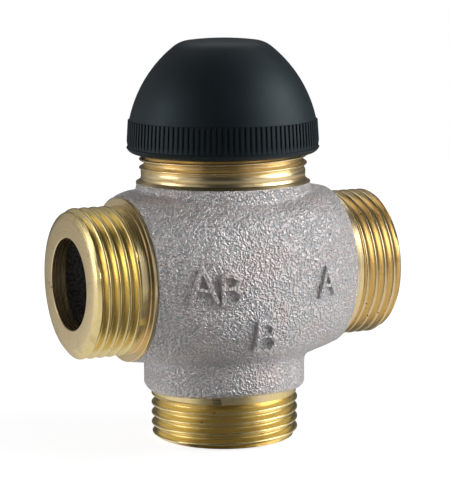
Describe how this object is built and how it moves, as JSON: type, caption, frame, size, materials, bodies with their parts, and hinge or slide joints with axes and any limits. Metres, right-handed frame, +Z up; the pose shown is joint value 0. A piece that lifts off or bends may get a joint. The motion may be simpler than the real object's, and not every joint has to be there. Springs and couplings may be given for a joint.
{
  "type": "thermostatic mixing valve",
  "caption": "Three-way mixing valve: cast brass body with male pipe-thread ports, a screwed neck and a ribbed black hand cap.",
  "frame": {"origin": "centre of the lower port's flat sealing face, which the valve stands on", "axes": "+Z up along the spindle, +X along the straight way towards port A, port AB at -X"},
  "size_m": [0.06, 0.0408, 0.0719],
  "materials": {
    "cast_brass": "nickel-plated sand casting with machined yellow brass threads and faces",
    "machined_brass": "turned, bright",
    "cap_plastic": "satin moulded, blue-black",
    "stainless": "turned stainless steel",
    "seal_rubber": "moulded seal rubber",
    "guide_plastic": "natural bearing plastic"
  },
  "bodies": {
    "valve": {"valve_body": "cast_brass", "bonnet": "machined_brass", "bonnet_ring": "seal_rubber", "guide_bush": "guide_plastic", "lower_gland_ring": "seal_rubber", "gland_spacer": "machined_brass", "upper_gland_ring": "seal_rubber", "gland_nut": "machined_brass", "return_spring": "stainless"},
    "stem": {"push_pin": "stainless", "spindle": "stainless", "spring_retainer": "stainless", "upper_disc": "machined_brass", "upper_seal": "seal_rubber", "distance_sleeve": "machined_brass", "lower_seal": "seal_rubber", "lower_disc": "machined_brass", "spindle_washer": "stainless", "spindle_nut": "stainless"},
    "cap": {"protective_cap": "cap_plastic"}
  },
  "joints": [
    {"name": "stem_lift", "type": "slide", "parent": "valve", "child": "stem", "axis": [0, 0, 1], "range_m": [-0.0024, 0], "deforming": ["return_spring"]},
    {"name": "cap_turn", "type": "hinge", "parent": "stem", "child": "cap", "pos_m": [0, 0, 0.06], "axis": [0, 0, 1], "range_deg": [-576.5, 0]}
  ],
  "couplings": [
    {"joint": "cap_turn", "follows": "stem_lift", "rad_per_m": 4188.8}
  ]
}
